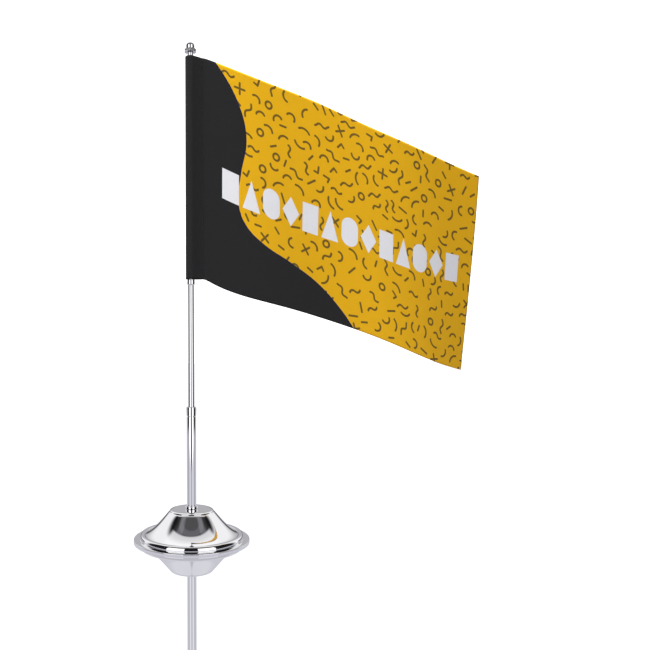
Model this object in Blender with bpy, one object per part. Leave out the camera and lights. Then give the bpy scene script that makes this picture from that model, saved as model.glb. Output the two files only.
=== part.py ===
"""Desk flag stand: a telescopic chromed pole on a weighted trumpet base, with a sleeved flag.

Metres, +Z up.  The origin is on the pole's axis at the underside of the felt pad, and the
flag flies towards +X.  Parts that touch on the real object keep a small gap here.
"""
import math

import bmesh
import bpy
import numpy as np
from mathutils import Matrix, Vector

MM = 0.001

# Base: a spun shell over a cast weight, closed by a felt pad
RIM_RADIUS = 51.9 * MM
LIP_INNER_RADIUS = 46.9 * MM
LIP_TOP = 1.8 * MM
LIP_UNDERSIDE = 0.5 * MM
BEAD_TOP_RADIUS = 43.8 * MM
BEAD_TOP = 6.4 * MM
FLARE_FOOT_RADIUS = 41.4 * MM
FLARE_FOOT = 5.7 * MM
FLARE_FOOT_PULL = (8.2 * MM, 3.9 * MM)
FLARE_TOP_PULL = (4.1 * MM, 4.4 * MM)
FLARE_TOP_RADIUS = 20.8 * MM
FLARE_TOP = 25.1 * MM
NECK_FOOT_PULL = (0.55 * MM, 0.6 * MM)
NECK_TOP_PULL = (0.05 * MM, 0.45 * MM)
NECK_RADIUS = 19.75 * MM
NECK_TOP = 26.3 * MM
SHOULDER_PULL = (0.1 * MM, 0.8 * MM)
DISC_PULL = 2.0 * MM
DISC_RADIUS = 15.8 * MM
DISC_TOP = 28.0 * MM
SHELL_WALL = 0.9 * MM
WEIGHT_CLEARANCE = 1.8 * MM
WEIGHT_RADIUS = 39.5 * MM
WEIGHT_UNDERSIDE = 1.3 * MM
WEIGHT_EDGE_DROP = 2.0 * MM
COUNTERBORE_RADIUS = 7.0 * MM
COUNTERBORE_TOP = 9.0 * MM
FELT_RADIUS = 45.5 * MM
FELT_THICKNESS = 1.0 * MM

# Fasteners: one M4 screw from below with its two washers
SCREW_RADIUS = 2.0 * MM
SCREW_TIP = 37.6 * MM
SCREW_HEAD_RADIUS = 3.9 * MM
SCREW_HEAD_HEIGHT = 2.6 * MM
SCREW_HOLE_RADIUS = 2.3 * MM
WASHER_RADIUS = 5.0 * MM
WASHER_THICKNESS = 0.8 * MM
LOCK_WASHER_RADIUS = 3.8 * MM
LOCK_WASHER_THICKNESS = 0.9 * MM

# Pole
LOWER_RADIUS = 4.25 * MM
UPPER_RADIUS = 2.75 * MM
TUBE_WALL = 0.5 * MM
FERRULE_RADIUS = 5.5 * MM
FERRULE_HEIGHT = 3.3 * MM
FERRULE_FLOOR = 1.0 * MM
PLUG_HEIGHT = 9.0 * MM
MOUTH_TOP = 119.4 * MM
CAP_HEIGHT = 8.2 * MM
CAP_RADIUS = 4.35 * MM
CAP_SPIGOT = 6.0 * MM
CAP_CHAMFER = 0.45 * MM
TUBE_CHAMFER = 0.4 * MM
LINER_WALL = 0.45 * MM
LINER_CLEARANCE = 0.1 * MM
FLANGE_RADIUS = 3.55 * MM
FLANGE_HEIGHT = 1.4 * MM
SPRING_LENGTH = 10.5 * MM
SPRING_WALL = 0.35 * MM
SPRING_SLOT = math.radians(24)
SPRING_END_RADIUS = 2.75 * MM
SPRING_BULGE_RADIUS = 3.7 * MM
NECK_DEPTH = 0.5 * MM
SHANK_LENGTH = 9.0 * MM
RING_TOP = 233.8 * MM
RING_HEIGHT = 5.0 * MM
RING_RADIUS = 3.45 * MM
UPPER_TOP = 438.1 * MM
STUD_RADIUS = 1.9 * MM
STUD_ENGAGEMENT = 9.0 * MM

# Cap nut on the top stud
NUT_ACROSS_FLATS = 10.5 * MM
NUT_HEX_HEIGHT = 2.5 * MM
NUT_CHAMFER_START = 0.25 * MM
NUT_CHAMFER_ANGLE = math.radians(32)
NUT_HOLE_RADIUS = 2.1 * MM
NUT_HOLE_DEPTH = 6.6 * MM
NUT_TOP = 447.8 * MM
NUT_CORNER_ANGLE = math.radians(-101)
DOME_RADIUS = 4.2 * MM

# Flag: a 300 x 200 mm cloth that hangs from its sleeve, plus the sleeve's fold round the pole
FLAG_LENGTH = 300.0 * MM
FLAG_HEIGHT = 200.0 * MM
FLAG_TOP = 434.2 * MM
CLOTH_THICKNESS = 0.6 * MM
SLEEVE_RADIUS = 4.5 * MM
SEAM_X = 11.0 * MM
SEAM_LIFT = 1.0 * MM
DROOP = 0.303
DROOP_ALONG = 0.013
DROOP_SWAY = (-0.014, -0.015)
DROOP_BELOW = -0.068
DROOP_BELOW_SWAY = (-0.047, -0.073)
DROOP_AT_SEAM_FOOT = 0.434
SEAM_FOOT_FADE = 8.0
SEAM_STIFFNESS = 2.7 * MM
WAVE_LENGTH = 177.0 * MM
WAVE_TOP = -0.5 * MM
WAVE_BOTTOM = 4.5 * MM
WAVE_SLANT = 0.283
WAVE_START = 5.03
WAVE_FADE = 27.0 * MM
RIPPLE_LENGTH = 104.0 * MM
RIPPLE = 0.64 * MM
RIPPLE_SLANT = 0.678
RIPPLE_START = -2.18
BOW_TOP = 9.7 * MM
BOW_BOTTOM = 32.6 * MM
PANEL_STEPS = 26
SLEEVE_STEPS = 12
HEIGHT_STEPS = 10

# Gaps that keep neighbouring solids apart
FIT_GAP = 0.1 * MM
REST_GAP = 0.3 * MM

FINE = 56
ROUND = 32


def material(name, colour, roughness, metallic):
    """A Principled material of one plain colour."""
    made = bpy.data.materials.new(name)
    made.use_nodes = True
    shader = made.node_tree.nodes["Principled BSDF"]
    shader.inputs["Base Color"].default_value = (*colour, 1.0)
    shader.inputs["Roughness"].default_value = roughness
    shader.inputs["Metallic"].default_value = metallic
    return made


def chrome(name):
    return material(name, (0.80, 0.80, 0.82), 0.06, 1.0)


def steel(name):
    return material(name, (0.56, 0.57, 0.58), 0.35, 1.0)


def brass(name):
    return material(name, (0.72, 0.56, 0.28), 0.30, 1.0)


def add_mesh(name, bm, finish, parent=None):
    """Turn a bmesh into a named object whose round faces are shaded smooth."""
    bmesh.ops.remove_doubles(bm, verts=bm.verts, dist=1e-7)
    bmesh.ops.recalc_face_normals(bm, faces=bm.faces)
    mesh = bpy.data.meshes.new(name)
    bm.to_mesh(mesh)
    bm.free()
    mesh.materials.append(finish)
    mesh.shade_smooth()
    mesh.set_sharp_from_angle(angle=math.radians(35))
    made = bpy.data.objects.new(name, mesh)
    bpy.context.collection.objects.link(made)
    made.parent = parent
    return made


def turned(name, outline, finish, parent=None, segments=ROUND, sweep=math.tau):
    """Turn a closed outline of (radius, height) points about the Z axis."""
    bm = bmesh.new()
    ring = [bm.verts.new((radius, 0.0, height)) for radius, height in outline]
    edges = [bm.edges.new((ring[i - 1], ring[i])) for i in range(len(ring))]
    whole = abs(sweep - math.tau) < 1e-9
    steps = max(3, round(segments * sweep / math.tau))
    geometry = ring + edges
    if not whole:
        geometry.append(bm.faces.new(ring))
    bmesh.ops.spin(bm, geom=geometry, cent=(0, 0, 0), axis=(0, 0, 1), angle=sweep,
                   steps=steps, use_merge=whole, use_duplicate=False)
    return add_mesh(name, bm, finish, parent)


def arc(centre, radius, start, end, steps):
    """Points on an arc, angles in degrees from +radius towards +height."""
    points = []
    for i in range(steps + 1):
        angle = math.radians(start + (end - start) * i / steps)
        points.append((centre[0] + radius * math.cos(angle), centre[1] + radius * math.sin(angle)))
    return points


def bezier(start, pull_start, pull_end, end, steps):
    """Points on a cubic curve, both ends included."""
    points = []
    for i in range(steps + 1):
        t = i / steps
        weights = ((1 - t) ** 3, 3 * t * (1 - t) ** 2, 3 * t * t * (1 - t), t ** 3)
        corners = (start, pull_start, pull_end, end)
        points.append(tuple(sum(w * c[k] for w, c in zip(weights, corners)) for k in (0, 1)))
    return points


def inset(line, distance):
    """The same open line moved sideways by a distance, to the right of its direction."""
    moved = []
    for i, point in enumerate(line):
        before = Vector(line[max(i - 1, 0)])
        after = Vector(line[min(i + 1, len(line) - 1)])
        along = (after - before).normalized()
        moved.append((point[0] + along.y * distance, point[1] - along.x * distance))
    return moved


def tube_outline(outer, wall, low, high, chamfer=0.0):
    """A plain tube's section, with chamfered outer ends."""
    inner = outer - wall
    if chamfer == 0.0:
        return [(inner, low), (outer, low), (outer, high), (inner, high)]
    return [(inner, low), (outer - chamfer, low), (outer, low + chamfer),
            (outer, high - chamfer), (outer - chamfer, high), (inner, high)]


def flare_line():
    """The trumpet's outer line from its foot up to the neck."""
    return bezier((FLARE_FOOT_RADIUS, FLARE_FOOT),
                  (FLARE_FOOT_RADIUS - FLARE_FOOT_PULL[0], FLARE_FOOT + FLARE_FOOT_PULL[1]),
                  (FLARE_TOP_RADIUS + FLARE_TOP_PULL[0], FLARE_TOP - FLARE_TOP_PULL[1]),
                  (FLARE_TOP_RADIUS, FLARE_TOP), 10)


def shell_line():
    """The shell's outer line from the lip's outer edge up to the top disc."""
    lip = [(RIM_RADIUS, LIP_UNDERSIDE + 0.5 * MM), (RIM_RADIUS, LIP_TOP - 0.3 * MM),
           (RIM_RADIUS - 0.3 * MM, LIP_TOP), (LIP_INNER_RADIUS, LIP_TOP)]
    bead = bezier((LIP_INNER_RADIUS - 0.1 * MM, LIP_TOP + 0.3 * MM),
                  (LIP_INNER_RADIUS - 0.3 * MM, BEAD_TOP - 1.2 * MM),
                  (BEAD_TOP_RADIUS + 1.8 * MM, BEAD_TOP),
                  (BEAD_TOP_RADIUS, BEAD_TOP), 7)
    bead += bezier((BEAD_TOP_RADIUS, BEAD_TOP), (BEAD_TOP_RADIUS - 1.0 * MM, BEAD_TOP),
                   (FLARE_FOOT_RADIUS + 0.6 * MM, FLARE_FOOT + 0.5 * MM),
                   (FLARE_FOOT_RADIUS + 0.2 * MM, FLARE_FOOT + 0.05 * MM), 3)[1:]
    neck = bezier((FLARE_TOP_RADIUS, FLARE_TOP),
                  (FLARE_TOP_RADIUS - NECK_FOOT_PULL[0], FLARE_TOP + NECK_FOOT_PULL[1]),
                  (NECK_RADIUS + NECK_TOP_PULL[0], NECK_TOP - NECK_TOP_PULL[1]), (NECK_RADIUS, NECK_TOP), 3)[1:]
    shoulder = bezier((NECK_RADIUS, NECK_TOP),
                      (NECK_RADIUS - SHOULDER_PULL[0], NECK_TOP + SHOULDER_PULL[1]),
                      (DISC_RADIUS + DISC_PULL, DISC_TOP), (DISC_RADIUS, DISC_TOP), 5)[1:]
    return lip + bead + flare_line() + neck + shoulder


def base_shell():
    """The spun shell: lip, bead, trumpet flare and flat top disc, open underneath."""
    outer = shell_line()
    inner_start = 3
    inside = inset(outer[inner_start:], -SHELL_WALL)
    inside[0] = (LIP_INNER_RADIUS - SHELL_WALL, LIP_UNDERSIDE)
    hole = [(SCREW_HOLE_RADIUS, DISC_TOP), (SCREW_HOLE_RADIUS, DISC_TOP - SHELL_WALL)]
    hem = [(RIM_RADIUS - 0.4 * MM, LIP_UNDERSIDE)]
    turned("base_shell", outer + hole + inside[::-1] + hem, chrome("chrome_shell"), segments=FINE)


def base_weight():
    """The cast weight that follows the shell's inside and takes the screw's head."""
    flare = inset(flare_line()[2:], -(SHELL_WALL + WEIGHT_CLEARANCE))
    top = DISC_TOP - SHELL_WALL - REST_GAP
    outline = [(COUNTERBORE_RADIUS, WEIGHT_UNDERSIDE), (WEIGHT_RADIUS, WEIGHT_UNDERSIDE),
               (WEIGHT_RADIUS, flare[0][1] - WEIGHT_EDGE_DROP)]
    outline += [point for point in flare if point[1] < top - 2.5 * MM]
    outline += [(DISC_RADIUS - 3.4 * MM, top), (SCREW_HOLE_RADIUS, top),
                (SCREW_HOLE_RADIUS, COUNTERBORE_TOP), (COUNTERBORE_RADIUS, COUNTERBORE_TOP)]
    cast = material("cast_weight", (0.09, 0.09, 0.095), 0.75, 0.6)
    turned("base_weight", outline, cast, segments=FINE)


def felt_pad():
    """A full felt disc that covers the screw and stands on the desk."""
    outline = [(0.0, 0.0), (FELT_RADIUS, 0.0), (FELT_RADIUS, FELT_THICKNESS), (0.0, FELT_THICKNESS)]
    turned("felt_pad", outline, material("felt", (0.03, 0.03, 0.035), 0.95, 0.0), segments=FINE)


def cutter_box(name, size, centre, angle=0.0):
    """A hidden box that a Boolean modifier cuts with."""
    bm = bmesh.new()
    bmesh.ops.create_cube(bm, size=1.0)
    bmesh.ops.scale(bm, vec=size, verts=bm.verts)
    bmesh.ops.rotate(bm, matrix=Matrix.Rotation(angle, 3, "Z"), verts=bm.verts)
    bmesh.ops.translate(bm, vec=centre, verts=bm.verts)
    return as_guide(add_mesh(name, bm, steel(name)))


def as_guide(guide):
    guide.hide_render = True
    guide.display_type = "WIRE"
    return guide


def combine(target, guide, operation):
    modifier = target.modifiers.new(guide.name, "BOOLEAN")
    modifier.operation = operation
    modifier.object = guide
    modifier.solver = "EXACT"


def base_fasteners():
    """The screw that holds base and pole together, with its plain and split washers."""
    washer_top = COUNTERBORE_TOP - 0.2 * MM
    washer_low = washer_top - WASHER_THICKNESS
    turned("base_washer", [(SCREW_HOLE_RADIUS, washer_low), (WASHER_RADIUS, washer_low),
                           (WASHER_RADIUS, washer_top), (SCREW_HOLE_RADIUS, washer_top)],
           steel("washer_steel"))
    lock_top = washer_low - 0.2 * MM
    lock_low = lock_top - LOCK_WASHER_THICKNESS
    turned("lock_washer", [(SCREW_HOLE_RADIUS, lock_low), (LOCK_WASHER_RADIUS, lock_low),
                           (LOCK_WASHER_RADIUS, lock_top), (SCREW_HOLE_RADIUS, lock_top)],
           steel("lock_washer_steel"), sweep=math.radians(345))
    head_top = lock_low - 0.2 * MM
    head_low = head_top - SCREW_HEAD_HEIGHT
    screw = turned("base_screw", [(0.0, head_low), (SCREW_HEAD_RADIUS - 0.8 * MM, head_low),
                                  (SCREW_HEAD_RADIUS, head_low + 0.9 * MM),
                                  (SCREW_HEAD_RADIUS, head_top), (SCREW_RADIUS, head_top),
                                  (SCREW_RADIUS, SCREW_TIP - 0.5 * MM),
                                  (SCREW_RADIUS - 0.5 * MM, SCREW_TIP), (0.0, SCREW_TIP)],
                   steel("screw_steel"), segments=24)
    for index in range(2):
        slot = cutter_box(f"cut_recess_{index}", (4.4 * MM, 0.9 * MM, 3.0 * MM),
                          (0, 0, head_low), index * math.pi / 2)
        combine(screw, slot, "DIFFERENCE")


def foot():
    """The ferrule that seats the pole on the disc, the threaded plug and the lower tube."""
    low = DISC_TOP + 0.2 * MM
    high = DISC_TOP + FERRULE_HEIGHT
    floor = low + FERRULE_FLOOR
    bore = LOWER_RADIUS + FIT_GAP
    crown = arc((FERRULE_RADIUS - 0.6 * MM, high - 0.6 * MM), 0.6 * MM, 0, 90, 4)
    turned("foot_ferrule", [(SCREW_HOLE_RADIUS, low), (FERRULE_RADIUS - 0.2 * MM, low),
                            (FERRULE_RADIUS, low + 0.2 * MM)] + crown
           + [(bore, high), (bore, floor), (SCREW_HOLE_RADIUS, floor)], chrome("chrome_ferrule"))
    tube_low = floor + 0.2 * MM
    tube_high = MOUTH_TOP - CAP_HEIGHT - 0.2 * MM
    turned("lower_tube", tube_outline(LOWER_RADIUS, TUBE_WALL, tube_low, tube_high, TUBE_CHAMFER),
           chrome("chrome_lower"))
    plug = LOWER_RADIUS - TUBE_WALL - FIT_GAP
    turned("foot_plug", [(SCREW_HOLE_RADIUS, tube_low), (plug, tube_low),
                         (plug, tube_low + PLUG_HEIGHT), (SCREW_HOLE_RADIUS, tube_low + PLUG_HEIGHT)],
           brass("plug_brass"))
    return tube_low + PLUG_HEIGHT


def guide():
    """The mouth cap of the lower tube and the nylon liner that guides the upper tube."""
    low = MOUTH_TOP - CAP_HEIGHT
    bottom = low - CAP_SPIGOT
    bore = UPPER_RADIUS + LINER_CLEARANCE + LINER_WALL + FIT_GAP
    spigot = LOWER_RADIUS - TUBE_WALL - FIT_GAP
    lip = UPPER_RADIUS + 2 * LINER_CLEARANCE
    crown = arc((CAP_RADIUS - 0.5 * MM, MOUTH_TOP - 0.5 * MM), 0.5 * MM, 0, 90, 4)
    turned("guide_cap", [(bore, bottom), (spigot, bottom), (spigot, low),
                         (CAP_RADIUS - CAP_CHAMFER, low), (CAP_RADIUS, low + CAP_CHAMFER)] + crown
           + [(lip, MOUTH_TOP), (lip, MOUTH_TOP - 0.8 * MM), (bore, MOUTH_TOP - 0.8 * MM)],
           chrome("chrome_cap"))
    turned("guide_liner", tube_outline(bore - FIT_GAP, LINER_WALL, bottom, MOUTH_TOP - 1.0 * MM),
           material("nylon", (0.82, 0.81, 0.76), 0.45, 0.0))
    return bottom


def slider(stop, parent):
    """The plug in the upper tube's lower end and the split friction spring round it."""
    top = stop - REST_GAP
    neck_top = top - FLANGE_HEIGHT
    neck_low = neck_top - SPRING_LENGTH
    low = neck_low - FLANGE_HEIGHT
    neck = UPPER_RADIUS - NECK_DEPTH
    shank = UPPER_RADIUS - TUBE_WALL - FIT_GAP
    turned("slide_plug", [(0.0, low), (FLANGE_RADIUS - 0.4 * MM, low), (FLANGE_RADIUS, low + 0.4 * MM),
                          (FLANGE_RADIUS, neck_low), (neck, neck_low), (neck, neck_top),
                          (FLANGE_RADIUS, neck_top), (FLANGE_RADIUS, top), (shank, top),
                          (shank, top + SHANK_LENGTH), (0.0, top + SHANK_LENGTH)],
           brass("slide_brass"), parent)
    middle = (neck_top + neck_low) / 2
    half = SPRING_LENGTH / 2 - 0.3 * MM
    outside = bezier((SPRING_END_RADIUS, middle - half), (SPRING_BULGE_RADIUS, middle - half / 2),
                     (SPRING_BULGE_RADIUS, middle + half / 2), (SPRING_END_RADIUS, middle + half), 6)
    inside = [(radius - SPRING_WALL, height) for radius, height in outside]
    turned("friction_spring", outside + inside[::-1], brass("spring_bronze"), parent,
           sweep=math.tau - SPRING_SLOT)
    return top


def upper_pole(tube_low, parent):
    """The upper tube, its stop ring, and the stud that takes the cap nut."""
    turned("upper_tube", tube_outline(UPPER_RADIUS, TUBE_WALL, tube_low, UPPER_TOP, 0.15 * MM),
           chrome("chrome_upper"), parent)
    bore = UPPER_RADIUS + FIT_GAP
    low = RING_TOP - RING_HEIGHT
    belly = bezier((bore + 0.15 * MM, low), (RING_RADIUS + 0.1 * MM, low + 0.7 * MM),
                   (RING_RADIUS, low + 1.0 * MM), (RING_RADIUS, low + 2.2 * MM), 5)
    crown = arc((RING_RADIUS - 0.4 * MM, RING_TOP - 0.5 * MM), 0.4 * MM, 0, 90, 4)
    turned("stop_ring", [(bore, low)] + belly + crown + [(bore, RING_TOP - 0.1 * MM)],
           chrome("chrome_ring"), parent)
    shank = UPPER_RADIUS - TUBE_WALL - FIT_GAP
    tip = UPPER_TOP + 6.4 * MM
    turned("top_stud", [(0.0, UPPER_TOP - STUD_ENGAGEMENT), (shank, UPPER_TOP - STUD_ENGAGEMENT),
                        (shank, UPPER_TOP - 1.0 * MM), (STUD_RADIUS, UPPER_TOP - 0.8 * MM),
                        (STUD_RADIUS, tip - 0.4 * MM), (STUD_RADIUS - 0.4 * MM, tip), (0.0, tip)],
           steel("stud_steel"), parent, segments=24)


def cap_nut(parent):
    """A domed hexagonal nut with chamfered corners and a blind hole from below."""
    low = UPPER_TOP + REST_GAP
    shoulder = low + NUT_HEX_HEIGHT
    corner = NUT_ACROSS_FLATS / 2 / math.cos(math.pi / 6)
    flat = NUT_ACROSS_FLATS / 2
    bm = bmesh.new()
    angles = [NUT_CORNER_ANGLE + math.tau * i / 6 for i in range(6)]
    rims = []
    for height in (low, shoulder):
        rims.append([bm.verts.new((corner * math.cos(a), corner * math.sin(a), height)) for a in angles])
        bm.faces.new(rims[-1])
    for i in range(6):
        bm.faces.new((rims[0][i - 1], rims[0][i], rims[1][i], rims[1][i - 1]))
    nut = add_mesh("cap_nut", bm, chrome("chrome_nut"), parent)
    inner = flat - NUT_CHAMFER_START
    chamfer = (corner - inner) * math.tan(NUT_CHAMFER_ANGLE)
    wide = corner + 0.1 * MM
    guide_low = low - 0.05 * MM
    guide_high = shoulder + 0.05 * MM
    limit = turned("cut_chamfer", [(0.0, guide_low), (inner, guide_low),
                                   (wide, low + chamfer), (wide, shoulder - chamfer),
                                   (inner, guide_high), (0.0, guide_high)],
                   steel("cut_chamfer"), segments=48)
    combine(nut, as_guide(limit), "INTERSECT")
    dome = arc((0.0, NUT_TOP - DOME_RADIUS), DOME_RADIUS, 0, 90, 10)
    cover = turned("add_dome", [(0.0, shoulder - 1.0 * MM), (DOME_RADIUS, shoulder - 1.0 * MM)] + dome,
                   steel("add_dome"))
    combine(nut, as_guide(cover), "UNION")
    bore = turned("cut_thread", [(0.0, low - 1.0 * MM), (NUT_HOLE_RADIUS, low - 1.0 * MM),
                                 (NUT_HOLE_RADIUS, low + NUT_HOLE_DEPTH),
                                 (0.0, low + NUT_HOLE_DEPTH + 0.8 * MM)],
                  steel("cut_thread"), segments=24)
    combine(nut, as_guide(bore), "DIFFERENCE")


def droop_angle(along, down):
    """How far the weft runs downhill, for 0..1 along the flag and 0..1 down its hoist."""
    turn = math.tau * along
    even = DROOP + DROOP_ALONG * along
    even += DROOP_SWAY[0] * math.cos(turn) + DROOP_SWAY[1] * math.sin(turn)
    lower = DROOP_BELOW + DROOP_BELOW_SWAY[0] * math.cos(turn) + DROOP_BELOW_SWAY[1] * math.sin(turn)
    lower += DROOP_AT_SEAM_FOOT * math.exp(-SEAM_FOOT_FADE * along)
    return (even + down * lower) * (1 - math.exp(-along * FLAG_LENGTH / SEAM_STIFFNESS))


def billow(along, down):
    """How far the cloth stands off the flag's plane: two slanting waves and an even bow."""
    length = along * FLAG_LENGTH
    wave = WAVE_TOP + (WAVE_BOTTOM - WAVE_TOP) * down
    wave *= math.sin(math.tau * (length / WAVE_LENGTH - WAVE_SLANT * down) + WAVE_START)
    ripple = RIPPLE * math.sin(math.tau * (length / RIPPLE_LENGTH - RIPPLE_SLANT * down) + RIPPLE_START)
    bow = (BOW_TOP + (BOW_BOTTOM - BOW_TOP) * down) * along * along
    return (wave + ripple) * (1 - math.exp(-length / WAVE_FADE)) + bow


def panel_row(down, steps):
    """One weft thread from the seam to the fly, walked at its true length."""
    walk = 6
    count = steps * walk
    point = Vector((SEAM_X, billow(0, down), FLAG_TOP - down * FLAG_HEIGHT))
    row = [point.copy()]
    for i in range(count):
        step = FLAG_LENGTH / count
        sideways = billow((i + 1) / count, down) - billow(i / count, down)
        fall = step * math.sin(droop_angle((i + 0.5) / count, down))
        forward = math.sqrt(max(step ** 2 - sideways ** 2 - fall ** 2, 0.0))
        point += Vector((forward, sideways, -fall))
        if (i + 1) % walk == 0:
            row.append(point.copy())
    return row


def sleeve_row(down):
    """The fold round the pole, from its loose end behind the seam to the seam in front."""
    height = FLAG_TOP - down * FLAG_HEIGHT
    tangent = math.degrees(math.acos(SLEEVE_RADIUS / SEAM_X))
    loop = arc((0.0, 0.0), SLEEVE_RADIUS, tangent, 360 - tangent, SLEEVE_STEPS)
    end = (SEAM_X - 0.6 * MM, SEAM_LIFT)
    return [Vector((x, y, height)) for x, y in [end] + loop]


def flag(parent):
    """One closed sheet: the fold round the pole and the panel, with two faces and a rim."""
    rows = []
    for j in range(HEIGHT_STEPS + 1):
        down = j / HEIGHT_STEPS
        rows.append(sleeve_row(down) + panel_row(down, PANEL_STEPS))
    middle = np.array([[tuple(point) for point in row] for row in rows])
    along = np.gradient(middle, axis=1)
    across = np.gradient(middle, axis=0)
    normal = np.cross(along, across)
    normal /= np.linalg.norm(normal, axis=2, keepdims=True)
    bm = bmesh.new()
    skins = []
    for side in (0.5, -0.5):
        points = middle + normal * CLOTH_THICKNESS * side
        skins.append([[bm.verts.new(point) for point in row] for row in points])
    tall, wide = middle.shape[:2]
    for j in range(tall - 1):
        for i in range(wide - 1):
            for skin in skins:
                bm.faces.new((skin[j][i], skin[j + 1][i], skin[j + 1][i + 1], skin[j][i + 1]))
    border = [(0, i) for i in range(wide)] + [(j, wide - 1) for j in range(1, tall)]
    border += [(tall - 1, i) for i in range(wide - 2, -1, -1)] + [(j, 0) for j in range(tall - 2, 0, -1)]
    front, back = skins
    for (j, i), (next_j, next_i) in zip(border, border[1:] + border[:1]):
        bm.faces.new((front[j][i], front[next_j][next_i], back[next_j][next_i], back[j][i]))
    add_mesh("flag", bm, material("flag_cloth", (0.79, 0.42, 0.03), 0.85, 0.0), parent)


def pivot(name):
    """An empty on the pole's axis that a moving group hangs from."""
    made = bpy.data.objects.new(name, None)
    bpy.context.collection.objects.link(made)
    return made


def main():
    for old in list(bpy.data.objects):
        bpy.data.objects.remove(old, do_unlink=True)
    base_shell()
    base_weight()
    felt_pad()
    base_fasteners()
    foot()
    stop = guide()
    pole_axis = pivot("pole_axis")
    tube_low = slider(stop, pole_axis)
    upper_pole(tube_low + 0.2 * MM, pole_axis)
    cap_nut(pole_axis)
    flag(pole_axis)


main()
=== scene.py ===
import math

import bmesh
import bpy
import numpy as np
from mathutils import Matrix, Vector


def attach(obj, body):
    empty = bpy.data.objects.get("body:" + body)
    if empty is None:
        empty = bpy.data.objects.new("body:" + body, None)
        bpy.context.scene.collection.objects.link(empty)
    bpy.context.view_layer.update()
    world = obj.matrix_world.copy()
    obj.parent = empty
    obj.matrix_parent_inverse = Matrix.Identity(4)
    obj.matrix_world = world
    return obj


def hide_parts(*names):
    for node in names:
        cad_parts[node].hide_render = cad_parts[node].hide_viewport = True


MM = 0.001

# Camera: 630 mm in front of the pole with the slightest roll, its picture shifted to fit the flag
CAMERA_PLACE = (-0.1201, -0.6186, 0.1750)
CAMERA_TURN = 0.2145
CAMERA_ROLL = 0.003
CAMERA_LENS = 38.77
CAMERA_SHIFT = (0.1814, 0.0308)
TABLE_FRONT = 0.38
TABLE_SIDE = 0.80
TABLE_BACK = 1.2

# Turned pieces, the same outlines as their CAD nodes but with finer steps
RIM_RADIUS = 51.9 * MM
LIP_INNER_RADIUS = 46.9 * MM
LIP_TOP = 1.8 * MM
LIP_UNDERSIDE = 0.5 * MM
BEAD_TOP_RADIUS = 43.8 * MM
BEAD_TOP = 6.4 * MM
FLARE_FOOT_RADIUS = 41.4 * MM
FLARE_FOOT = 5.7 * MM
FLARE_FOOT_PULL = (8.2 * MM, 3.9 * MM)
FLARE_TOP_PULL = (4.1 * MM, 4.4 * MM)
FLARE_TOP_RADIUS = 20.8 * MM
FLARE_TOP = 25.1 * MM
NECK_FOOT_PULL = (0.55 * MM, 0.6 * MM)
NECK_TOP_PULL = (0.05 * MM, 0.45 * MM)
NECK_RADIUS = 19.75 * MM
NECK_TOP = 26.3 * MM
SHOULDER_PULL = (0.1 * MM, 0.8 * MM)
DISC_PULL = 2.0 * MM
DISC_RADIUS = 15.8 * MM
DISC_TOP = 28.0 * MM
SHELL_WALL = 0.9 * MM
SCREW_HOLE_RADIUS = 2.3 * MM
LOWER_RADIUS = 4.25 * MM
UPPER_RADIUS = 2.75 * MM
TUBE_WALL = 0.5 * MM
FERRULE_RADIUS = 5.5 * MM
FERRULE_LOW = 28.2 * MM
FERRULE_HIGH = 31.3 * MM
LOWER_TUBE_LOW = 29.4 * MM
LOWER_TUBE_HIGH = 111.0 * MM
MOUTH_TOP = 119.4 * MM
JOINT_CHAMFER = 0.45 * MM
CAP_HEIGHT = 8.2 * MM
CAP_RADIUS = 4.35 * MM
CAP_SPIGOT = 6.0 * MM
CAP_BORE = 3.4 * MM
CAP_LIP = 2.95 * MM
RING_TOP = 233.8 * MM
RING_HEIGHT = 5.0 * MM
RING_RADIUS = 3.45 * MM
UPPER_TUBE_LOW = 105.1 * MM
UPPER_TUBE_HIGH = 438.1 * MM
NUT_LOW = 438.4 * MM
NUT_ACROSS_FLATS = 10.5 * MM
NUT_HEX_HEIGHT = 2.5 * MM
NUT_TOP = 447.8 * MM
NUT_CORNER_ANGLE = math.radians(-101)
NUT_BORE = 2.1 * MM
DOME_RADIUS = 4.2 * MM
TURNED_SEGMENTS = 160

# Studio: brightness of what the floor, the chrome and the cloth see
BACKGROUND_WHITE = 1.6
FLOOR_SEES = 3.2
CLOTH_SHARE_LOST = 0.52
WALL_IN_FRONT = 0.012
WALL_AT_SIDES = 1.0
WALL_BEHIND_DROP = 0.51
WALL_NEAR_GROUND = 0.08
CEILING_AT_OPENING = 0.76
CEILING_GAIN = 0.34
OPENING_SHADE = 0.09
SOFT_BOX = 1.5
FLOOR_COLOUR = (0.90, 0.895, 1.0)
FLOOR_GLOW = 0.52
FLOOR_MIRROR = 0.20
FLOOR_REACH = 6.0

# Flag, the same cloth as the CAD node "flag"
FLAG_LENGTH = 300.0 * MM
FLAG_HEIGHT = 200.0 * MM
FLAG_TOP = 434.2 * MM
SLEEVE_RADIUS = 4.5 * MM
SEAM_X = 11.0 * MM
SEAM_LIFT = 1.0 * MM
DROOP = 0.303
DROOP_ALONG = 0.013
DROOP_SWAY = (-0.014, -0.015)
DROOP_BELOW = -0.068
DROOP_BELOW_SWAY = (-0.047, -0.073)
DROOP_AT_SEAM_FOOT = 0.434
SEAM_FOOT_FADE = 8.0
SEAM_STIFFNESS = 2.7 * MM
WAVE_LENGTH = 177.0 * MM
WAVE_TOP = -0.5 * MM
WAVE_BOTTOM = 4.5 * MM
WAVE_SLANT = 0.283
WAVE_START = 5.03
WAVE_FADE = 27.0 * MM
RIPPLE_LENGTH = 104.0 * MM
RIPPLE = 0.64 * MM
RIPPLE_SLANT = 0.678
RIPPLE_START = -2.18
BOW_TOP = 9.7 * MM
BOW_BOTTOM = 32.6 * MM
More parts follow.
